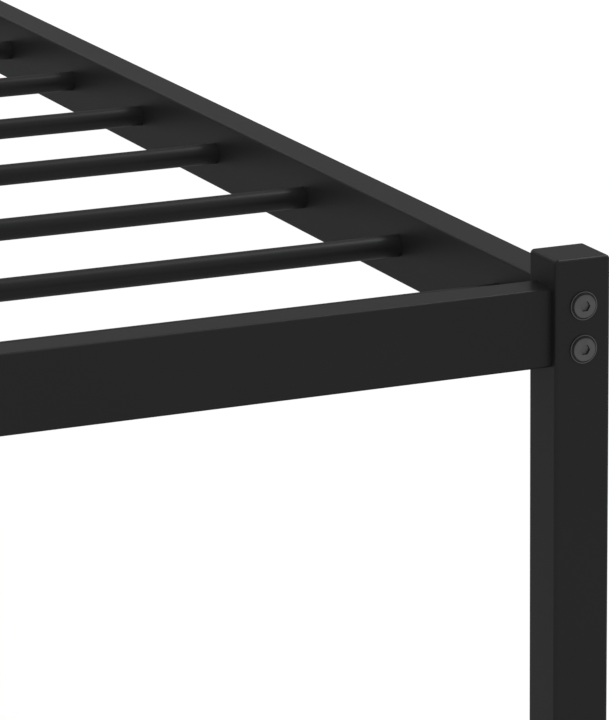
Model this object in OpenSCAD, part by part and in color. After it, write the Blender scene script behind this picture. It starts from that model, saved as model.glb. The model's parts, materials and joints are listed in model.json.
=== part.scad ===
// Metal bed frame: two welded end frames, two bolted side rails, round slats let into
// the side rails, and a notched centre beam on two legs of its own.
// Units are millimetres. +Z is up, +Y runs from the foot end to the head end, +X is to the
// right seen from the foot end. The origin is on the floor under the middle of the frame.

/* [Frame] */
// Width over the outer faces of the legs
frame_w = 1030; // [760:10:1600]
// Length over the outer faces of the legs
frame_l = 1990; // [1700:10:2200]
// Height of the leg tops above the floor
frame_h = 355; // [250:5:450]
// How far the leg tops stand above the rails
leg_rise = 15; // [4:1:40]

/* [Legs] */
// Outside width of the square leg tube
leg_size = 30; // [26:1:50]
// Wall of the leg tube
leg_wall = 1.5; // [1:0.1:2.5]
// Outside corner radius of the leg tube
leg_corner = 2.2; // [0.8:0.1:2.8]
// Thickness of the plate that closes the leg
top_plate = 3; // [3:0.5:6]

/* [Rails] */
// Height of the rail tube
rail_h = 40; // [36:1:60]
// Thickness of the rail tube
rail_t = 20; // [16:1:24]
// Wall of the rail tube
rail_wall = 1.5; // [1:0.1:2.5]
// Outside corner radius of the rail tube
rail_corner = 1.5; // [0.8:0.1:3]

/* [Slats] */
// Outside diameter of the round slat tube
slat_d = 12; // [8:0.5:14]
// Wall of the slat tube
slat_wall = 1.2; // [0.8:0.1:2]
// Number of slats
slat_count = 16; // [14:1:18]
// Distance from the outer face of an end leg to the nearest slat
first_slat = 77; // [60:0.5:120]
// First pitch of the slats, counted from the one nearest to each end
pitch_1 = 120; // [100:0.5:140]
// Second pitch from each end
pitch_2 = 127; // [100:0.5:140]
// Third pitch from each end
pitch_3 = 128; // [100:0.5:140]
// Fourth pitch from each end
pitch_4 = 119.5; // [100:0.5:140]
// Fifth pitch from each end
pitch_5 = 118.5; // [100:0.5:140]
// Sixth pitch from each end; those in the middle share what is left
pitch_6 = 114.5; // [100:0.5:140]
// How deep a slat reaches past the inner face of the side rail
slat_insert = 10; // [4:0.5:12]
// Radial clearance of a slat in its hole or notch
slat_fit = 0.15; // [0.05:0.05:0.4]

/* [Corner bolts] */
// Thread diameter of a corner bolt
bolt_d = 8; // [5:0.5:10]
// Distance between the two bolts of a corner
bolt_pitch = 22; // [18:0.5:26]
// Diameter of the flange under the head
flange_d = 14.5; // [13:0.5:17]
// Thickness of the flange
flange_h = 0.8; // [0.5:0.1:1.5]
// Diameter of the domed head
head_d = 11.6; // [10:0.2:12.8]
// Height of the head above the leg, flange included
head_h = 2.1; // [1.8:0.1:4]
// Rise of the dome in the middle of the head
dome_rise = 0.3; // [0.1:0.1:0.8]
// Width across the flats of the hex socket
socket_af = 5; // [3:0.5:6]
// Depth of the hex socket
socket_depth = 1.6; // [1.5:0.1:4]
// Length of the threaded block in the end of a side rail
block_l = 22; // [14:1:30]
// Clearance of the block in the rail tube
block_fit = 0.2; // [0.1:0.05:0.4]
// Radial clearance of a bolt in the leg
bolt_fit = 0.4; // [0.2:0.1:0.6]
// Radial clearance of a bolt in its thread
thread_fit = 0.1; // [0.05:0.05:0.2]

/* [Centre beam] */
// Width of the centre beam tube
beam_w = 20; // [16:1:30]
// Height of the centre beam tube
beam_h = 30; // [24:1:50]
// Wall of the centre beam tube
beam_wall = 1.5; // [1:0.1:2.5]
// Depth to which a slat lies in its notch
notch_depth = 4; // [2:0.5:5]
// Thickness of the folded plates that hold the beam
plate_t = 2.5; // [2:0.5:4]
// Length of the cheeks that hold the beam
cheek_l = 30; // [24:1:50]
// Height of the cheeks above the underside of the beam
cheek_h = 22; // [18:1:24]
// Clearance between the beam and the plates
beam_fit = 0.3; // [0.1:0.1:0.6]
// Thread diameter of a beam bolt
beam_bolt_d = 6; // [4:0.5:8]
// Width across the flats of a beam bolt's head and nut
beam_bolt_af = 10; // [9:0.5:14]
// Height of a beam bolt's head
beam_bolt_head = 4; // [3:0.5:6]
// Height of a beam nut
beam_nut_h = 5; // [4:0.5:7]

/* [Centre legs] */
// Outside width of the square centre leg tube
centre_leg_size = 25; // [20:1:30]
// Wall of the centre leg tube
centre_leg_wall = 1.5; // [1:0.1:2.5]
// Distance between the two centre legs
centre_leg_gap = 660; // [400:10:1100]

/* [Feet] */
// Height of the foot below the tube
foot_h = 5; // [3:0.5:10]
// Depth of the foot's plug in the tube
plug_h = 18; // [10:1:30]
// Wall of the plug
plug_wall = 2; // [1.2:0.1:3]
// Clearance of the plug in the tube
plug_fit = 0.2; // [0.1:0.05:0.4]

/* [Hidden] */
$fn = 64;
cut = 1;              // how far a cutting solid runs past what it cuts
coat = "#1b1c1e";     // black powder coat
bolt_black = "#3c3d3f";
steel = "#8f9295";
plastic = "#101112";

rail_top = frame_h - leg_rise;
rail_z = rail_top - rail_h / 2;
leg_x = (frame_w - leg_size) / 2;
leg_y = (frame_l - leg_size) / 2;
rail_in_x = leg_x - rail_t / 2;
rail_in_y = leg_y - rail_t / 2;
end_pitches = [pitch_1, pitch_2, pitch_3, pitch_4, pitch_5, pitch_6];
end_count = len(end_pitches);
mid_pitch = (frame_l - 2 * (first_slat + pitch_sum(end_count))) / (slat_count - 1 - 2 * end_count);
bolt_l = leg_size + block_l;
beam_top = rail_z - slat_d / 2 + notch_depth;
beam_bottom = beam_top - beam_h;
beam_l = 2 * (rail_in_y - plate_t - beam_fit);
plate_w = beam_w + 2 * (beam_fit + plate_t);
plate_z = beam_bottom - beam_fit - plate_t;
beam_bolt_z = beam_bottom + beam_h / 2;
hanger_bolt_y = rail_in_y - plate_t - cheek_l / 2;
centre_leg_y = centre_leg_gap / 2;
side_names = ["left", "right"];
end_names = ["foot", "head"];
number_names = ["1", "2"];
slat_names = [for (i = [1 : slat_count]) str("slat_", i < 10 ? "0" : "", i)];
corners = [for (e = [0, 1], s = [0, 1]) [s, e]];

function corner_name(part, c) = str(part, "_", end_names[c[1]], "_", side_names[c[0]]);
function outward(i) = i == 0 ? -1 : 1;
function pitch_sum(n) = n == 0 ? 0 : end_pitches[n - 1] + pitch_sum(n - 1);
function from_end(i) = first_slat + pitch_sum(min(i, end_count)) + max(i - end_count, 0) * mid_pitch;
function slat_y(i) = i < slat_count / 2 ? from_end(i) - frame_l / 2
                                        : frame_l / 2 - from_end(slat_count - 1 - i);

// Rectangle with round corners, centred
module rounded_rect(w, h, r) {
    square([w - 2 * r, h], center = true);
    square([w, h - 2 * r], center = true);
    for (x = [-1, 1], y = [-1, 1])
        translate([x * (w / 2 - r), y * (h / 2 - r)]) circle(r);
}

// Rectangular tube along +Z from z = 0
module tube(w, h, wall, r, length) {
    difference() {
        linear_extrude(length) rounded_rect(w, h, r);
        translate([0, 0, -cut]) linear_extrude(length + 2 * cut)
            square([w - 2 * wall, h - 2 * wall], center = true);
    }
}

// Rail tube lying along +Y, centred on the origin, its height along Z
module rail_tube(w, h, wall, r, length) {
    translate([0, length / 2, 0]) rotate([90, 0, 0]) tube(w, h, wall, r, length);
}

// Moves a child from a leg's own frame, where -Y points out of the frame's end, to corner c
module at_corner(c) {
    translate([outward(c[0]) * leg_x, outward(c[1]) * leg_y, 0]) rotate(c[1] == 0 ? 0 : 180) children();
}

// The two bolt axes of a corner, starting on the leg's outer face and running inwards
module at_corner_bolts() {
    for (level = [-1, 1])
        translate([0, -leg_size / 2, rail_z + level * bolt_pitch / 2]) rotate([-90, 0, 0]) children();
}

// The hanger and cradle bolt axes, across the middle of the beam
module at_beam_bolts() {
    for (y = [-hanger_bolt_y, -centre_leg_y, centre_leg_y, hanger_bolt_y])
        translate([0, y, beam_bolt_z]) rotate([0, 90, 0]) children();
}

// Square leg tube with clearance holes through its outer and inner faces
module leg(c) {
    color(coat) at_corner(c) difference() {
        translate([0, 0, foot_h])
            tube(leg_size, leg_size, leg_wall, leg_corner, frame_h - top_plate - foot_h);
        at_corner_bolts() translate([0, 0, -cut])
            cylinder(r = bolt_d / 2 + bolt_fit, h = leg_size + 2 * cut);
    }
}

// Plate welded flush on the leg, its upper edges as round as the tube's corners
module leg_top(c) {
    inner = leg_size - 2 * leg_corner;
    color(coat) at_corner(c) translate([0, 0, frame_h - top_plate]) intersection() {
        linear_extrude(top_plate) square(leg_size, center = true);
        union() {
            linear_extrude(top_plate - leg_corner) rounded_rect(leg_size, leg_size, leg_corner);
            linear_extrude(top_plate) square(inner, center = true);
            translate([0, 0, top_plate - leg_corner]) for (turn = [0 : 90 : 270]) rotate(turn)
                translate([-inner / 2, -inner / 2, 0]) {
                    sphere(leg_corner);
                    rotate([0, 90, 0]) cylinder(r = leg_corner, h = inner);
                }
        }
    }
}

// Plastic foot: a base as wide as the tube, and a hollow plug pushed into it
module foot(size, wall, corner) {
    plug = size - 2 * wall - 2 * plug_fit;
    color(plastic) {
        linear_extrude(foot_h) rounded_rect(size, size, corner);
        translate([0, 0, foot_h]) difference() {
            linear_extrude(plug_h) rounded_rect(plug, plug, corner);
            translate([0, 0, plug_wall]) linear_extrude(plug_h)
                square(plug - 2 * plug_wall, center = true);
        }
    }
}

module foot_cap(c) {
    at_corner(c) foot(leg_size, leg_wall, leg_corner);
}

// Threaded block welded into the end of a side rail
module rail_block(c) {
    w = rail_t - 2 * (rail_wall + block_fit);
    h = rail_h - 2 * (rail_wall + block_fit);
    color(steel) at_corner(c) difference() {
        translate([-w / 2, leg_size / 2, rail_z - h / 2]) cube([w, block_l, h]);
        at_corner_bolts() cylinder(r = bolt_d / 2 + thread_fit, h = leg_size + block_l + cut);
    }
}

// Bolt with a thin flange and a low domed head with a hex socket; the flange seats at z = 0
module flange_bolt() {
    dome_r = (pow(head_d / 2, 2) + pow(dome_rise, 2)) / (2 * dome_rise);
    difference() {
        union() {
            cylinder(d = bolt_d, h = bolt_l);
            translate([0, 0, -flange_h]) cylinder(d = flange_d, h = flange_h);
            rotate_extrude() intersection() {
                translate([0, -head_h]) square([head_d / 2, head_h]);
                translate([0, dome_r - head_h]) circle(dome_r, $fn = 720);
            }
        }
        translate([0, 0, -head_h - cut]) cylinder(d = socket_af / cos(30), h = socket_depth + cut, $fn = 6);
    }
}

module corner_bolts() {
    color(bolt_black) for (c = corners) at_corner(c) at_corner_bolts() flange_bolt();
}

// End rail, butt welded between the two legs of its end
module cross_rail(e) {
    color(coat) translate([0, outward(e) * leg_y, rail_z]) rotate(90)
        rail_tube(rail_t, rail_h, rail_wall, rail_corner, frame_w - 2 * leg_size);
}

// Side rail between the leg faces, its inner wall drilled for the slats
module side_rail(s) {
    color(coat) translate([outward(s) * leg_x, 0, rail_z]) difference() {
        rail_tube(rail_t, rail_h, rail_wall, rail_corner, frame_l - 2 * leg_size);
        for (i = [0 : slat_count - 1]) translate([0, slat_y(i), 0]) rotate([0, -outward(s) * 90, 0])
            cylinder(r = slat_d / 2 + slat_fit, h = rail_t / 2 + cut);
    }
}

// Round slat tube, both ends let into the side rails
module slat(i) {
    half = rail_in_x + slat_insert;
    color(coat) translate([-half, slat_y(i), rail_z]) rotate([0, 90, 0]) difference() {
        cylinder(d = slat_d, h = 2 * half);
        translate([0, 0, -cut]) cylinder(d = slat_d - 2 * slat_wall, h = 2 * (half + cut));
    }
}

// Beam under the slats, notched along its top so that each slat lies in it
module centre_beam() {
    color(coat) difference() {
        translate([0, 0, beam_bottom + beam_h / 2]) rail_tube(beam_w, beam_h, beam_wall, rail_corner, beam_l);
        for (i = [0 : slat_count - 1]) translate([-beam_w / 2 - cut, slat_y(i), rail_z]) rotate([0, 90, 0])
            cylinder(r = slat_d / 2 + slat_fit, h = beam_w + 2 * cut);
        at_beam_bolts() cylinder(r = beam_bolt_d / 2 + bolt_fit, h = beam_w + 2 * cut, center = true);
    }
}

// Folded plate: a floor and two cheeks around the beam, from y = 0 to the cheeks' length
module cheek_channel() {
    translate([-plate_w / 2, 0, plate_z]) cube([plate_w, cheek_l, plate_t]);
    for (x = [-plate_w / 2, plate_w / 2 - plate_t]) translate([x, 0, plate_z])
        cube([plate_t, cheek_l, plate_t + beam_fit + cheek_h]);
}

// Hanger welded to the inner face of a cross rail
module beam_hanger(e) {
    color(coat) difference() {
        rotate(e == 0 ? 0 : 180) translate([0, -rail_in_y, 0]) {
            translate([-plate_w / 2, 0, plate_z]) cube([plate_w, plate_t, rail_z + rail_h / 4 - plate_z]);
            translate([0, plate_t, 0]) cheek_channel();
        }
        at_beam_bolts() cylinder(r = beam_bolt_d / 2 + bolt_fit, h = plate_w + 2 * cut, center = true);
    }
}

// Cradle welded on top of a centre leg
module beam_cradle(n) {
    color(coat) difference() {
        translate([0, outward(n) * centre_leg_y - cheek_l / 2, 0]) cheek_channel();
        at_beam_bolts() cylinder(r = beam_bolt_d / 2 + bolt_fit, h = plate_w + 2 * cut, center = true);
    }
}

module centre_leg(n) {
    color(coat) translate([0, outward(n) * centre_leg_y, foot_h])
        tube(centre_leg_size, centre_leg_size, centre_leg_wall, leg_corner, plate_z - foot_h);
}

module centre_foot(n) {
    translate([0, outward(n) * centre_leg_y, 0]) foot(centre_leg_size, centre_leg_wall, leg_corner);
}

// Hexagon standing on z = 0
module hexagon(af, h) {
    cylinder(d = af / cos(30), h = h, $fn = 6);
}

module beam_bolts() {
    color(bolt_black) at_beam_bolts() {
        translate([0, 0, -plate_w / 2 - beam_bolt_head]) hexagon(beam_bolt_af, beam_bolt_head);
        translate([0, 0, -plate_w / 2]) cylinder(d = beam_bolt_d, h = plate_w + beam_nut_h);
    }
}

module beam_nuts() {
    color(bolt_black) at_beam_bolts() translate([0, 0, plate_w / 2]) difference() {
        hexagon(beam_bolt_af, beam_nut_h);
        translate([0, 0, -cut]) cylinder(r = beam_bolt_d / 2 + thread_fit, h = beam_nut_h + 2 * cut);
    }
}

for (c = corners) {
    leg(c);
    leg_top(c);
    foot_cap(c);
    rail_block(c);
}
corner_bolts();
for (k = [0, 1]) {
    cross_rail(k);
    side_rail(k);
    beam_hanger(k);
    beam_cradle(k);
    centre_leg(k);
    centre_foot(k);
}
for (i = [0 : slat_count - 1])
    slat(i);
centre_beam();
beam_bolts();
beam_nuts();
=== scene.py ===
import json
import math

import bmesh
import bpy
from mathutils import Matrix, Vector


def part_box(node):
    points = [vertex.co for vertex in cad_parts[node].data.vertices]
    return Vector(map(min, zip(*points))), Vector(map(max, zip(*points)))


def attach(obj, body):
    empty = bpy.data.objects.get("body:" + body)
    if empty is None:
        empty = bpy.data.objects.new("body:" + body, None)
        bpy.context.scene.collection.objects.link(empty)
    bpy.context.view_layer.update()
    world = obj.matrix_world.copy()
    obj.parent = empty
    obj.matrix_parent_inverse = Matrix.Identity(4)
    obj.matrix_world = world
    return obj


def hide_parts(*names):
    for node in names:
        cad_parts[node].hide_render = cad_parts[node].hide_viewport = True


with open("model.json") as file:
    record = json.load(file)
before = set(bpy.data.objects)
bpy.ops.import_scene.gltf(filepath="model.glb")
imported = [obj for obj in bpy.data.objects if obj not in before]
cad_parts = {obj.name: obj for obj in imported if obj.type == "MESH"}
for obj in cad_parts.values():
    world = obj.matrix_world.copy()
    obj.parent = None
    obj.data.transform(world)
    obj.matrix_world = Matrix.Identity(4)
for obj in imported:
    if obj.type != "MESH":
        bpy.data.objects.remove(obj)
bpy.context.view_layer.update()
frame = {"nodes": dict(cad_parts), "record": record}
nodes = frame["nodes"]
mm = 0.001
tiny = 0.01         # mm, places closer than this count as the same
mergeGap = 1e-4     # mm, corners closer than this are joined
smoothAngle = 35    # degrees, edges sharper than this stay crisp
aligned = 0.99      # cosine, an edge this near an axis runs along it
print("frame loaded:", len(nodes), "parts")

cameraSetup = {
    "place": (-0.45510, -2.87154, 0.86626),
    "turn": 23.2440,      # degrees to the right of +Y
    "tiltDown": 14.9545,
    "roll": -0.6773,
    "lens": 221.196,      # mm
    "sensor": 36,         # mm
    "farthest": 200,      # m, nothing beyond is drawn
}


def addCamera(setup):
    data = bpy.data.cameras.new("camera")
    data.sensor_width = setup["sensor"]
    data.lens = setup["lens"]
    data.clip_end = setup["farthest"]
    camera = bpy.data.objects.new("camera", data)
    bpy.context.scene.collection.objects.link(camera)
    camera.matrix_world = (
        Matrix.Translation(setup["place"])
        @ Matrix.Rotation(-math.radians(setup["turn"]), 4, "Z")
        @ Matrix.Rotation(math.pi / 2 - math.radians(setup["tiltDown"]), 4, "X")
        @ Matrix.Rotation(math.radians(setup["roll"]), 4, "Z")
    )
    bpy.context.scene.camera = camera


lightSetup = {
    "skyLevel": 0.9,             # plain light from all round
    "skyReflected": 0.235,       # the same sky as the paint mirrors it
    "ceilingPower": 75,          # W, high up on the right, the highlight along the slats
    "ceilingSize": (1.2, 1.6),   # m
    "ceilingPlace": (4.3, 0.5, 5.3),
    "ceilingAim": (0.3, -0.85, 0.3),
    "backPower": 3.5,            # W, behind the frame, a thin line along its rounded edges
    "backSize": (1.6, 1.0),
    "backPlace": (0.35, 3.0, 2.35),
    "backAim": (0.45, -0.9, 0.34),
    "leftPower": 120,            # W, fills beside the camera that make no reflection
    "rightPower": 65,
    "fillSize": (3.0, 3.0),
    "fillPlace": (4.2, -5.2, 2.0),    # of the right one; the left one mirrors it
    "fillAim": (0.3, -0.6, 0.3),
    "floorSize": 80,
    "floorGrey": 0.20,           # the floor's own paint, which takes the shadow
    "floorGlow": 0.80,           # lifts the floor to white where it is seen directly
    "floorReflected": 0.06,      # what of that shows in the paint
}


def addSoftbox(name, place, aim, size, power, reflects=True):
    data = bpy.data.lights.new(name, "AREA")
    data.shape = "RECTANGLE"
    data.size, data.size_y = size
    data.energy = power
    lamp = bpy.data.objects.new(name, data)
    bpy.context.scene.collection.objects.link(lamp)
    lamp.location = place
    lamp.rotation_euler = (Vector(aim) - Vector(place)).to_track_quat("-Z", "Y").to_euler()
    lamp.visible_glossy = reflects


def addMath(tree, operation, *values):
    node = tree.nodes.new("ShaderNodeMath")
    node.operation = operation
    for socket, value in zip(node.inputs, values):
        if isinstance(value, bpy.types.NodeSocket):
            tree.links.new(value, socket)
        else:
            socket.default_value = value
    return node.outputs["Value"]


def byRay(tree, seen, reflected, otherwise):
    # one value for the camera and through anything clear, one in reflections, one as a light
    path = tree.nodes.new("ShaderNodeLightPath").outputs
    direct = addMath(tree, "ADD", path["Is Camera Ray"], path["Is Transmission Ray"])
    value = addMath(tree, "MULTIPLY_ADD", direct, seen - otherwise, otherwise)
    return addMath(tree, "MULTIPLY_ADD", path["Is Glossy Ray"], reflected - otherwise, value)


def addWorld(setup):
    world = bpy.data.worlds.new("studio")
    bpy.context.scene.world = world
    world.use_nodes = True
    tree = world.node_tree
    background = tree.nodes["Background"]
    background.inputs["Color"].default_value = (1, 1, 1, 1)
    strength = byRay(tree, 1, setup["skyReflected"], setup["skyLevel"])
    tree.links.new(strength, background.inputs["Strength"])


def addFloor(setup):
    paint = bpy.data.materials.new("floorPaint")
    paint.use_nodes = True
    tree = paint.node_tree
    shader = tree.nodes["Principled BSDF"]
    grey = setup["floorGrey"]
    shader.inputs["Base Color"].default_value = (grey, grey, grey, 1)
    shader.inputs["Roughness"].default_value = 1
    shader.inputs["Specular IOR Level"].default_value = 0
    shader.inputs["Emission Color"].default_value = (1, 1, 1, 1)
    glow = byRay(tree, setup["floorGlow"], setup["floorReflected"], 0)
    tree.links.new(glow, shader.inputs["Emission Strength"])
    bpy.ops.mesh.primitive_plane_add(size=setup["floorSize"])
    floor = bpy.context.object
    floor.name = "floor"
    floor.data.materials.append(paint)


def addStage(setup):
    addWorld(setup)
    addFloor(setup)
    for name in ("ceiling", "back"):
        addSoftbox(
            name + "Softbox", setup[name + "Place"], setup[name + "Aim"],
            setup[name + "Size"], setup[name + "Power"],
        )
    x, y, z = setup["fillPlace"]
    for name, place in (("left", (-x, y, z)), ("right", (x, y, z))):
        addSoftbox(
            name + "Fill", place, setup["fillAim"],
            setup["fillSize"], setup[name + "Power"], reflects=False,
        )
    bpy.context.scene.view_settings.view_transform = "Standard"


addCamera(cameraSetup)
addStage(lightSetup)
print("camera, floor and lights set")


def makeGroup(name, inputs, outputs):
    tree = bpy.data.node_groups.new(name, "ShaderNodeTree")
    for label, kind in inputs.items():
        tree.interface.new_socket(label, in_out="INPUT", socket_type="NodeSocket" + kind)
    for label, kind in outputs.items():
        tree.interface.new_socket(label, in_out="OUTPUT", socket_type="NodeSocket" + kind)
    return tree, tree.nodes.new("NodeGroupInput").outputs, tree.nodes.new("NodeGroupOutput").inputs


def addNoise(tree, vector, scale, detail):
    noise = tree.nodes.new("ShaderNodeTexNoise")
    noise.inputs["Detail"].default_value = detail
    tree.links.new(vector, noise.inputs["Vector"])
    tree.links.new(scale, noise.inputs["Scale"])
    return noise.outputs["Fac"]


skinSetup = {
    "peelDetail": 1.0,
    "fineDetail": 2.0,
    "driftDetail": 3.0,
    "fineRatio": 4.3,       # how many fine bumps lie along one wide one
}


def makeSkinGroup(setup):
    # small bumps, and slow drifts of tone and gloss, as on any coated or moulded skin; where
    # Painted Shade is above 0 the colour is that much darker, shade painted into the colour
    tree, given, result = makeGroup(
        "skin",
        {
            "Vector": "Vector", "Colour": "Color", "Tone Drift": "Float",
            "Roughness": "Float", "Gloss Drift": "Float",
            "Bump Scale": "Float", "Drift Scale": "Float", "Fine Share": "Float",
            "Painted Shade": "Float",
        },
        {"Colour": "Color", "Roughness": "Float", "Height": "Float"},
    )
    peel = addNoise(tree, given["Vector"], given["Bump Scale"], setup["peelDetail"])
    fineScale = addMath(tree, "MULTIPLY", given["Bump Scale"], setup["fineRatio"])
    fine = addNoise(tree, given["Vector"], fineScale, setup["fineDetail"])
    drift = addNoise(tree, given["Vector"], given["Drift Scale"], setup["driftDetail"])
    swing = addMath(tree, "SUBTRACT", drift, 0.5)

    drifting = addMath(tree, "MULTIPLY_ADD", swing, given["Tone Drift"], 1.0)
    # painted shade: the colour is scaled down by the Painted Shade input
    unshaded = addMath(tree, "SUBTRACT", 1.0, given["Painted Shade"])
    tone = addMath(tree, "MULTIPLY", drifting, unshaded)
    tinted = tree.nodes.new("ShaderNodeVectorMath")
    tinted.operation = "SCALE"
    tree.links.new(given["Colour"], tinted.inputs[0])
    tree.links.new(tone, tinted.inputs["Scale"])
    tree.links.new(tinted.outputs["Vector"], result["Colour"])

    fineSwing = addMath(tree, "SUBTRACT", fine, 0.5)
    bothSwings = addMath(tree, "ADD", swing, fineSwing)
    gloss = addMath(tree, "MULTIPLY_ADD", bothSwings, given["Gloss Drift"], given["Roughness"])
    tree.links.new(gloss, result["Roughness"])

    height = addMath(tree, "MULTIPLY_ADD", fineSwing, given["Fine Share"], peel)
    tree.links.new(height, result["Height"])
    return tree


skinGroup = makeSkinGroup(skinSetup)


def makeMaterial(name, setup):
    material = bpy.data.materials.new(name)
    material.use_nodes = True
    tree = material.node_tree
    shader = tree.nodes["Principled BSDF"]
    shader.inputs["Metallic"].default_value = setup.get("metallic", 0.0)
    shader.inputs["Specular IOR Level"].default_value = setup.get("specular", 0.5)

    skin = tree.nodes.new("ShaderNodeGroup")
    skin.node_tree = skinGroup
    place = tree.nodes.new("ShaderNodeTexCoord")
    tree.links.new(place.outputs["Object"], skin.inputs["Vector"])
    skin.inputs["Colour"].default_value = (*setup["colour"], 1)
    skin.inputs["Tone Drift"].default_value = setup["toneDrift"]
    skin.inputs["Roughness"].default_value = setup["roughness"]
    skin.inputs["Gloss Drift"].default_value = setup["glossDrift"]
    skin.inputs["Bump Scale"].default_value = 1 / (setup["bumpWidth"] * mm)
    skin.inputs["Drift Scale"].default_value = 1 / (setup["driftWidth"] * mm)
    skin.inputs["Fine Share"].default_value = setup["fineShare"]
    # painted shade: faces marked in the piece's paintedShade attribute get a darker base colour, standing in
    # for the shade in its hollows
    if "recessShade" in setup:
        paintedShade = tree.nodes.new("ShaderNodeAttribute")
        paintedShade.attribute_name = "paintedShade"
        shade = addMath(tree, "MULTIPLY", paintedShade.outputs["Fac"], setup["recessShade"])
        tree.links.new(shade, skin.inputs["Painted Shade"])
    tree.links.new(skin.outputs["Colour"], shader.inputs["Base Color"])
    tree.links.new(skin.outputs["Roughness"], shader.inputs["Roughness"])

    bump = tree.nodes.new("ShaderNodeBump")
    bump.inputs["Strength"].default_value = setup["bumpStrength"]
    bump.inputs["Distance"].default_value = setup["bumpDepth"] * mm
    tree.links.new(skin.outputs["Height"], bump.inputs["Height"])
    tree.links.new(bump.outputs["Normal"], shader.inputs["Normal"])
    return material


powderCoatSetup = {
    "colour": (0.0105, 0.0105, 0.0108),
    "toneDrift": 0.25,
    "roughness": 0.43,
    "glossDrift": 0.06,
    "specular": 0.5,
    "bumpWidth": 1.6,        # mm, size of the orange peel
    "bumpDepth": 0.03,       # mm
    "bumpStrength": 0.5,
    "fineShare": 0.25,
    "driftWidth": 60,        # mm
}

boltBlackSetup = {
    "colour": (0.275, 0.275, 0.28),
    "toneDrift": 0.35,
    "roughness": 0.40,
    "glossDrift": 0.15,
    "metallic": 1.0,
    "bumpWidth": 0.9,
    "bumpDepth": 0.03,
    "bumpStrength": 0.5,
    "fineShare": 0.6,
    "driftWidth": 4,
    "recessShade": 0.5,      # of the faces that a piece marks, painted shade in the base colour
}

bareSteelSetup = {
    "colour": (0.42, 0.42, 0.43),
    "toneDrift": 0.3,
    "roughness": 0.38,
    "glossDrift": 0.2,
    "metallic": 1.0,
    "bumpWidth": 0.5,
    "bumpDepth": 0.02,
    "bumpStrength": 0.5,
    "fineShare": 0.8,
    "driftWidth": 12,
}

footPlasticSetup = {
    "colour": (0.014, 0.014, 0.0145),
    "toneDrift": 0.2,
    "roughness": 0.55,
    "glossDrift": 0.12,
    "specular": 0.5,
    "bumpWidth": 0.4,
    "bumpDepth": 0.03,
    "bumpStrength": 0.7,
    "fineShare": 0.7,
    "driftWidth": 15,
}

materials = {
    "powder_coat": makeMaterial("powderCoat", powderCoatSetup),
    "bolt_black": makeMaterial("boltBlack", boltBlackSetup),
    "bare_steel": makeMaterial("bareSteel", bareSteelSetup),
    "foot_plastic": makeMaterial("footPlastic", footPlasticSetup),
}
for subpart in frame["record"]["subparts"]:
    part = nodes[subpart["node"]]
    part.data.materials.clear()
    part.data.materials.append(materials[subpart["material_slot"]])
print("materials made:", ", ".join(materials))


def middle(node):
    low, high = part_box(node)
    return (low + high) / 2


def roundEdges(bm, edges, radius, segments):
    bmesh.ops.bevel(
        bm, geom=edges, offset=radius, offset_type="OFFSET", affect="EDGES",
        segments=segments, profile=0.5, material=-1, clamp_overlap=True,
    )


def roundSharp(bm, radius, angle=30):
    sharp = [e for e in bm.edges if e.calc_face_angle(0) > math.radians(angle)]
    roundEdges(bm, sharp, radius, segments=2)


def addPiece(name, bm, slot, replaced, turn=None, place=(0, 0, 0)):
    # bm is in millimetres round its own origin; turn and place bring it into the frame
    bmesh.ops.remove_doubles(bm, verts=bm.verts, dist=mergeGap)
    bmesh.ops.scale(bm, vec=(mm, mm, mm), verts=bm.verts)
    if turn is not None:
        bmesh.ops.transform(bm, matrix=turn, verts=bm.verts)
    bmesh.ops.translate(bm, vec=place, verts=bm.verts)
    bmesh.ops.recalc_face_normals(bm, faces=bm.faces)
    mesh = bpy.data.meshes.new(name)
    bm.to_mesh(mesh)
    bm.free()
    mesh.shade_smooth()
    mesh.set_sharp_from_angle(angle=math.radians(smoothAngle))
    mesh.materials.append(materials[slot])
    piece = bpy.data.objects.new(name, mesh)
    bpy.context.scene.collection.objects.link(piece)
    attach(piece, "root")
    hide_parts(replaced)


def spinProfile(bm, points, steps):
    verts = [bm.verts.new((radius, 0, height)) for radius, height in points]
    edges = [bm.edges.new(pair) for pair in zip(verts, verts[1:])]
    bmesh.ops.spin(
        bm, geom=verts + edges, cent=(0, 0, 0), axis=(0, 0, 1), dvec=(0, 0, 0),
        angle=2 * math.pi, steps=steps, use_merge=True, use_duplicate=False,
    )
    bmesh.ops.remove_doubles(bm, verts=bm.verts, dist=mergeGap)


def edgesOf(verts):
    # every edge at these corners, once each
    return list(dict.fromkeys(edge for vert in verts for edge in vert.link_edges))


def hexLoop(bm, acrossFlats, height, cuts):
    # a hexagon of edges with one corner on +X
    turn = Matrix.Translation((0, 0, height)) @ Matrix.Rotation(math.pi / 2, 4, "Z")
    ring = bmesh.ops.create_circle(
        bm, cap_ends=False, radius=acrossFlats / math.sqrt(3), segments=6, matrix=turn,
    )["verts"]
    edges = edgesOf(ring)
    made = bmesh.ops.subdivide_edges(bm, edges=edges, cuts=cuts)["geom_split"]
    edges += [item for item in made if isinstance(item, bmesh.types.BMEdge)]
    return list(dict.fromkeys(edges))


def newVerts(made):
    return [item for item in made["geom"] if isinstance(item, bmesh.types.BMVert)]


railEndSetup = {
    "radius": 0.9,      # mm, of the deburred rim where a rail meets a leg
    "segments": 3,
    "angle": 50,        # only edges sharper than this are rounded
}


def roundRailEnds(setup):
    for name in ("cross_rail_foot", "cross_rail_head", "side_rail_left", "side_rail_right"):
        rim = nodes[name].modifiers.new("rim", "BEVEL")
        rim.width = setup["radius"] * mm
        rim.segments = setup["segments"]
        rim.limit_method = "ANGLE"
        rim.angle_limit = math.radians(setup["angle"])


roundRailEnds(railEndSetup)
print("rail ends rounded")


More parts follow.
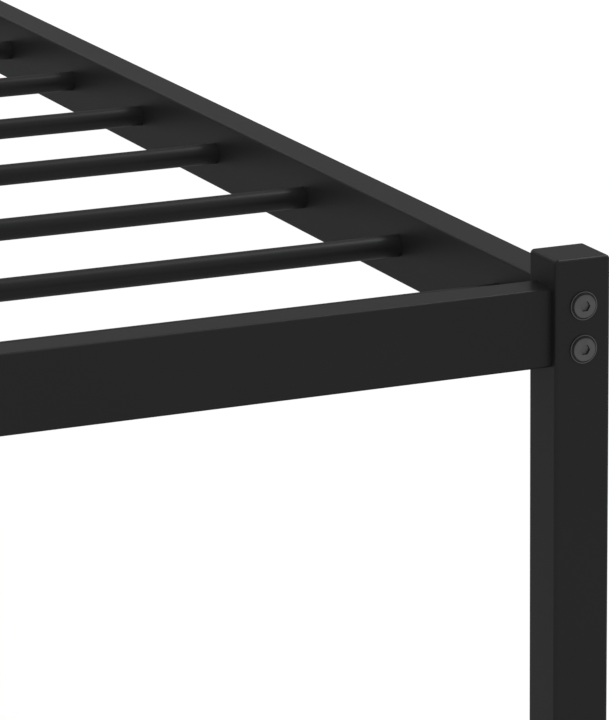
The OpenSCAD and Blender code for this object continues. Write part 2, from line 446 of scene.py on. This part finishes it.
cornerBoltSetup = {
    "headWidth": 11.7,
    "headHeight": 2.1,      # above the leg, flange included
    "domeRise": 0.3,
    "domeStart": 0.66,      # radius of the dome's inner ring, as a share of the socket's width
    "domeRings": (0.7, 0.86),    # the next ones, as shares of the head's radius
    "skirtWidth": 0.2,      # how far the head's side slopes outwards
    "grooveFloor": 0.2,
    "grooveWidth": 0.95,    # from the head's edge to the flange's crest
    "grooveDepth": 0.5,
    "grooveRecess": 0.5,    # share of the material's painted shade given to the groove
    "flangeWidth": 14.5,
    "flangeHeight": 0.8,
    "socketWidth": 4.8,     # across the flats, before its edge is rounded
    "socketDepth": 1.6,
    "shankWidth": 8,
    "tipChamfer": 1,
    "edgeRadius": 0.12,
    "hexCuts": 7,
}


def buildCornerBolt(setup, length):
    # the flange's seat lies at z = 0 and the head points along +Z
    bm = bmesh.new()
    head = setup["headWidth"] / 2
    flange = setup["flangeWidth"] / 2
    shank = setup["shankWidth"] / 2
    top = setup["headHeight"]
    lip = setup["flangeHeight"]
    groove = lip - setup["grooveDepth"]
    crest = head + setup["grooveWidth"]
    foot = head + setup["skirtWidth"]
    chamfer = setup["tipChamfer"]

    def domeHeight(radius):
        return top - setup["domeRise"] * (radius / head) ** 2

    inner = setup["domeStart"] * setup["socketWidth"]
    rings = (inner, *[share * head for share in setup["domeRings"]], head)
    steps = 6 * (setup["hexCuts"] + 1)
    spinProfile(bm, [(radius, domeHeight(radius)) for radius in rings] + [
        (foot, groove), (foot + setup["grooveFloor"], groove), (crest, lip), (flange, lip), (flange, 0),
        (shank, 0), (shank, chamfer - length), (shank - chamfer, -length), (0, -length),
    ], steps)
    domeEdge = [edge for edge in bm.edges if edge.is_boundary]

    mouthHeight = domeHeight(setup["socketWidth"] / 2)
    mouth = hexLoop(bm, setup["socketWidth"], mouthHeight, setup["hexCuts"])
    bmesh.ops.bridge_loops(bm, edges=domeEdge + mouth)
    socket = bmesh.ops.extrude_edge_only(bm, edges=mouth)
    depth = mouthHeight - top + setup["socketDepth"]
    bmesh.ops.translate(bm, vec=(0, 0, -depth), verts=newVerts(socket))
    bmesh.ops.edgeloop_fill(bm, edges=[e for e in socket["geom"] if isinstance(e, bmesh.types.BMEdge)])
    roundSharp(bm, setup["edgeRadius"])

    bm.normal_update()
    # painted shade: the groove and the socket's walls are marked so their colour is darker, standing in for
    # the shade that falls there
    paintedShade = bm.faces.layers.float.new("paintedShade")
    for face in bm.faces:
        centre = face.calc_center_median()
        steep = abs(face.normal.z) < 0.5
        if head < centre.xy.length < crest and centre.z < lip:
            face[paintedShade] = setup["grooveRecess"]
        elif centre.xy.length < inner and centre.z > 0 and steep:
            face[paintedShade] = 1    # the walls of the socket, painted fully darker as shade
    return bm


def addCornerBolts(setup):
    low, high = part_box("corner_bolts")
    half = setup["flangeWidth"] / 2 * mm
    levels = {"lower": low.z + half, "upper": high.z - half}
    for end, face in (("foot", -1), ("head", 1)):
        turn = Matrix.Rotation(-face * math.pi / 2, 4, "X")
        for side in ("left", "right"):
            legLow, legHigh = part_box(f"leg_{end}_{side}")
            blockLow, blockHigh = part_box(f"rail_block_{end}_{side}")
            seat, tip = (legLow.y, blockHigh.y) if face < 0 else (legHigh.y, blockLow.y)
            for level, height in levels.items():
                name = f"cornerBolt_{end}_{side}_{level}"
                bm = buildCornerBolt(setup, abs(tip - seat) / mm)
                place = ((legLow.x + legHigh.x) / 2, seat, height)
                addPiece(name, bm, "bolt_black", "corner_bolts", turn, place)


addCornerBolts(cornerBoltSetup)
print("corner bolts made")


beamBoltSetup = {
    "headWidth": 10,        # across the flats, of head and nut
    "headHeight": 4,
    "collarWidth": 9.2,     # round seat under the head
    "collarHeight": 0.4,
    "dishWidth": 7.2,       # shallow hollow in the head's face
    "dishDepth": 0.15,
    "nutHeight": 5,
    "coreInset": 0.4,       # how far the core inside the hexagon stays within the collar's edge
    "shankWidth": 6,
    "shankSteps": 32,       # sides of the core, collar and shank
    "tipChamfer": 0.6,
    "holeWidth": 6.2,
    "cornerCut": 0.9,       # the hexagon's corners, cut back
    "edgeRadius": 0.15,
    "hexCuts": 3,
}


def buildHexNut(bm, setup, hole, low, high):
    # a hexagonal ring round a hole, its corners cut back on both sides
    steps = 6 * (setup["hexCuts"] + 1)
    rim = hexLoop(bm, setup["headWidth"], low, setup["hexCuts"])
    turn = Matrix.Translation((0, 0, low)) @ Matrix.Rotation(math.pi / 2, 4, "Z")
    ring = bmesh.ops.create_circle(bm, cap_ends=False, radius=hole / 2, segments=steps, matrix=turn)["verts"]
    mouth = edgesOf(ring)
    faces = bmesh.ops.bridge_loops(bm, edges=rim + mouth)["faces"]
    made = bmesh.ops.extrude_face_region(bm, geom=faces, use_keep_orig=True)
    bmesh.ops.translate(bm, vec=(0, 0, high - low), verts=newVerts(made))
    reach = setup["headWidth"] / math.sqrt(3) - tiny
    corners = [vert for vert in bm.verts if vert.co.xy.length > reach]
    bmesh.ops.bevel(
        bm, geom=corners, offset=setup["cornerCut"], offset_type="OFFSET", affect="VERTICES",
        segments=1, profile=0.5, material=-1, clamp_overlap=True,
    )


def buildBeamBolt(setup, grip):
    # the head's seat lies at z = 0 and the head points along +Z
    bm = bmesh.new()
    collar = setup["collarWidth"] / 2
    core = collar - setup["coreInset"]
    shank = setup["shankWidth"] / 2
    chamfer = setup["tipChamfer"]
    top = setup["headHeight"] - setup["dishDepth"]
    length = grip + setup["nutHeight"]
    buildHexNut(bm, setup, setup["dishWidth"], setup["collarHeight"], setup["headHeight"])
    spinProfile(bm, [
        (0, top), (core, top), (core, top / 2), (collar, top / 2), (collar, 0),
        (shank, 0), (shank, chamfer - length), (shank - chamfer, -length), (0, -length),
    ], setup["shankSteps"])
    roundSharp(bm, setup["edgeRadius"])
    return bm


def addBeamBolts(setup):
    boltLow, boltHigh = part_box("beam_bolts")
    nutLow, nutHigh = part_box("beam_nuts")
    half = setup["headWidth"] / 2 * mm
    rows = {
        "foot": boltLow.y + half,
        "1": middle("beam_cradle_1").y,
        "2": middle("beam_cradle_2").y,
        "head": boltHigh.y - half,
    }
    headSeat = boltLow.x + setup["headHeight"] * mm
    height = (boltLow.z + boltHigh.z) / 2
    turn = Matrix.Rotation(-math.pi / 2, 4, "Y")
    for row, y in rows.items():
        bm = buildBeamBolt(setup, (nutLow.x - headSeat) / mm)
        addPiece(f"beamBolt_{row}", bm, "bolt_black", "beam_bolts", turn, (headSeat, y, height))
        bm = bmesh.new()
        buildHexNut(bm, setup, setup["holeWidth"], 0, setup["nutHeight"])
        roundSharp(bm, setup["edgeRadius"])
        addPiece(f"beamNut_{row}", bm, "bolt_black", "beam_nuts", turn, (nutHigh.x, y, height))


addBeamBolts(beamBoltSetup)
print("beam bolts and nuts made")


bracketSetup = {
    "plate": 2.5,
    "bendRadius": 0.8,      # inside the fold
    "bendSegments": 6,
    "cornerRadius": 4,
    "cornerSegments": 5,
    "edgeRadius": 0.25,
    "plateLap": 0.3,        # how far a hanger's channel runs into its back plate
    "beadRadius": 1.3,      # of the weld beads
    "beadStep": 1.5,
    "hangerBeadDepth": 0.25,    # share of the back plate's thickness
    "hangerBeadInset": 1,   # from the rail's lower edge
    "cradleBeadGap": 0.3,   # outside the leg's faces
    "cradleBeadDrop": 0.4,  # under the cradle's floor
    "cradleBeadInset": 2,   # from the leg's corners
}


def edgesAlong(verts, axis):
    return [
        e for e in edgesOf(verts)
        if abs((e.verts[0].co - e.verts[1].co).normalized()[axis]) > aligned
    ]


def addBlock(bm, low, high):
    centre = [(a + b) / 2 for a, b in zip(low, high)]
    size = [b - a for a, b in zip(low, high)]
    matrix = Matrix.Translation(centre) @ Matrix.Diagonal((*size, 1))
    return bmesh.ops.create_cube(bm, size=1, matrix=matrix)["verts"]


def joinInto(bm, part):
    mesh = bpy.data.meshes.new("part")
    part.to_mesh(mesh)
    part.free()
    bm.from_mesh(mesh)
    bpy.data.meshes.remove(mesh)


def addFoldedChannel(bm, setup, width, start, length, height):
    # a floor and two cheeks folded from one sheet, its underside at z = 0; it runs along +Y from
    # start, and the upper corners of its cheeks are rounded
    part = bmesh.new()
    half = width / 2
    outline = [(-half, height), (-half, 0), (half, 0), (half, height)]
    verts = [part.verts.new((x, start, z)) for x, z in outline]
    for pair in zip(verts, verts[1:]):
        part.edges.new(pair)
    bmesh.ops.bevel(
        part, geom=verts[1:3], offset=setup["bendRadius"] + setup["plate"], offset_type="OFFSET",
        affect="VERTICES", segments=setup["bendSegments"], profile=0.5, material=-1,
        clamp_overlap=True,
    )
    made = bmesh.ops.extrude_edge_only(part, edges=part.edges[:])
    bmesh.ops.translate(part, vec=(0, length, 0), verts=newVerts(made))
    bmesh.ops.recalc_face_normals(part, faces=part.faces)
    floor = min(part.faces, key=lambda face: face.calc_center_median().z)
    if floor.normal.z > 0:
        bmesh.ops.reverse_faces(part, faces=part.faces)
    bmesh.ops.solidify(part, geom=part.faces[:], thickness=setup["plate"])
    corners = [e for e in edgesAlong(part.verts, 0) if min(vert.co.z for vert in e.verts) > height - tiny]
    roundEdges(part, corners, setup["cornerRadius"], setup["cornerSegments"])
    roundSharp(part, setup["edgeRadius"])
    joinInto(bm, part)


def addBead(bm, setup, start, end):
    # a row of overlapping ripples
    start, end = Vector(start), Vector(end)
    count = round((end - start).length / setup["beadStep"])
    for ripple in range(count + 1):
        place = Matrix.Translation(start.lerp(end, ripple / count))
        bmesh.ops.create_icosphere(bm, subdivisions=2, radius=setup["beadRadius"], matrix=place)


def buildHanger(setup, width, length, cheekHeight, plateHeight, lap):
    # its back plate stands on the rail's face at y = 0, and lap is how far it covers the rail
    bm = bmesh.new()
    half = width / 2
    plate = setup["plate"]
    back = bmesh.new()
    verts = addBlock(back, (-half, 0, 0), (half, plate, plateHeight))
    top = [e for e in edgesAlong(verts, 1) if min(vert.co.z for vert in e.verts) > 0]
    roundEdges(back, top, setup["cornerRadius"], setup["cornerSegments"])
    roundSharp(back, setup["edgeRadius"])
    joinInto(bm, back)
    overlap = setup["plateLap"]
    addFoldedChannel(bm, setup, width, plate - overlap, length - plate + overlap, cheekHeight)
    beadDepth = setup["hangerBeadDepth"] * plate
    beadLow = plateHeight - lap + setup["hangerBeadInset"]
    beadHigh = plateHeight - setup["cornerRadius"]
    for x in (-half, half):
        addBead(bm, setup, (x, beadDepth, beadLow), (x, beadDepth, beadHigh))
    return bm


def buildCradle(setup, width, length, height, legWidth):
    # the floor of the channel stands on the leg at z = 0, its middle at y = 0
    bm = bmesh.new()
    addFoldedChannel(bm, setup, width, -length / 2, length, height)
    half = legWidth / 2
    gap = setup["cradleBeadGap"]
    drop = setup["cradleBeadDrop"]
    inset = setup["cradleBeadInset"]
    for y in (-half - gap, half + gap):
        addBead(bm, setup, (inset - half, y, -drop), (half - inset, y, -drop))
    return bm


def addBrackets(setup):
    cradleLow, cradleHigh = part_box("beam_cradle_1")
    width = (cradleHigh.x - cradleLow.x) / mm
    cheekHeight = (cradleHigh.z - cradleLow.z) / mm
    cheekLength = (cradleHigh.y - cradleLow.y) / mm
    for end, turned in (("foot", 0), ("head", math.pi)):
        low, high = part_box(f"beam_hanger_{end}")
        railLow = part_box(f"cross_rail_{end}")[0]
        bm = buildHanger(
            setup, width, length=(high.y - low.y) / mm, cheekHeight=cheekHeight,
            plateHeight=(high.z - low.z) / mm, lap=(high.z - railLow.z) / mm,
        )
        place = (middle(f"beam_hanger_{end}").x, high.y if turned else low.y, low.z)
        turn = Matrix.Rotation(turned, 4, "Z")
        addPiece(f"beamHanger_{end}", bm, "powder_coat", f"beam_hanger_{end}", turn, place)
    for number in ("1", "2"):
        legLow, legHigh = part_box(f"centre_leg_{number}")
        bm = buildCradle(setup, width, cheekLength, cheekHeight, (legHigh.x - legLow.x) / mm)
        place = (*middle(f"beam_cradle_{number}").xy, legHigh.z)
        addPiece(f"beamCradle_{number}", bm, "powder_coat", f"beam_cradle_{number}", None, place)


addBrackets(bracketSetup)
print("beam hangers and cradles made")


footSetup = {
    "cornerRadius": 1.5,
    "cornerSegments": 4,
    "soleRadius": 0.9,
    "rimRadius": 0.3,
    "rimSegments": 3,
    "tubeWall": 1.5,
    "plugGap": 0.2,
    "plugWall": 1.8,
    "plugCorner": 2.6,      # rounder than its wall is thick
    "plugSink": 0.5,        # how far the plug runs into the sole
    "wellTaper": 0.3,       # how much narrower the plug's hollow is at its floor, on each side
    "finCount": 3,
    "finHeight": 1.2,
    "finReach": 0.2,        # how far a fin stands out of the plug
}


def makeRoundedBlock(low, high, radius, segments):
    part = bmesh.new()
    verts = addBlock(part, low, high)
    roundEdges(part, edgesAlong(verts, 2), radius, segments)
    return part


def buildFoot(setup, size, baseHeight, height):
    # a sole as wide as the tube, and a hollow finned plug that is pushed into it
    bm = bmesh.new()
    half = size / 2
    segments = setup["cornerSegments"]
    base = makeRoundedBlock((-half, -half, 0), (half, half, baseHeight), setup["cornerRadius"], segments)
    for level, radius in ((0, setup["soleRadius"]), (baseHeight, setup["rimRadius"])):
        rim = [e for e in base.edges if all(abs(vert.co.z - level) < tiny for vert in e.verts)]
        roundEdges(base, rim, radius, setup["rimSegments"])
    joinInto(bm, base)

    plugHalf = half - setup["tubeWall"] - setup["plugGap"]
    low = (-plugHalf, -plugHalf, baseHeight - setup["plugSink"])
    plug = makeRoundedBlock(low, (plugHalf, plugHalf, height), setup["plugCorner"], segments)
    top = max(plug.faces, key=lambda face: face.calc_center_median().z)
    bmesh.ops.inset_region(plug, faces=[top], thickness=setup["plugWall"], use_even_offset=True)
    well = height - baseHeight - setup["plugWall"]
    bmesh.ops.inset_region(
        plug, faces=[top], thickness=setup["wellTaper"], depth=-well, use_even_offset=True,
    )

    pitch = (height - baseHeight) / (setup["finCount"] + 1)
    spread = 1 + setup["finReach"] / plugHalf
    outside = plugHalf - setup["plugWall"] / 2    # corners farther out are on the plug's outside
    for fin in range(setup["finCount"]):
        crest = baseHeight + pitch * (fin + 1)
        for level in (crest - setup["finHeight"] / 2, crest, crest + setup["finHeight"] / 2):
            everything = plug.verts[:] + plug.edges[:] + plug.faces[:]
            bmesh.ops.bisect_plane(plug, geom=everything, plane_co=(0, 0, level), plane_no=(0, 0, 1))
        ring = [
            vert for vert in plug.verts
            if abs(vert.co.z - crest) < tiny and max(abs(n) for n in vert.co.xy) > outside
        ]
        bmesh.ops.scale(plug, vec=(spread, spread, 1), verts=ring)
    joinInto(bm, plug)
    return bm


def addFoot(setup, foot, leg):
    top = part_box(foot)[1].z
    tubeLow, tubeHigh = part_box(leg)
    size = (tubeHigh.x - tubeLow.x) / mm
    bm = buildFoot(setup, size, tubeLow.z / mm, top / mm)
    name = "foot" + "".join(word.capitalize() for word in leg.split("_"))
    addPiece(name, bm, "foot_plastic", foot, None, (*middle(leg).xy, 0))


for end in ("foot", "head"):
    for side in ("left", "right"):
        addFoot(footSetup, f"foot_cap_{end}_{side}", f"leg_{end}_{side}")
for number in ("1", "2"):
    addFoot(footSetup, f"centre_foot_{number}", f"centre_leg_{number}")
print("feet made")
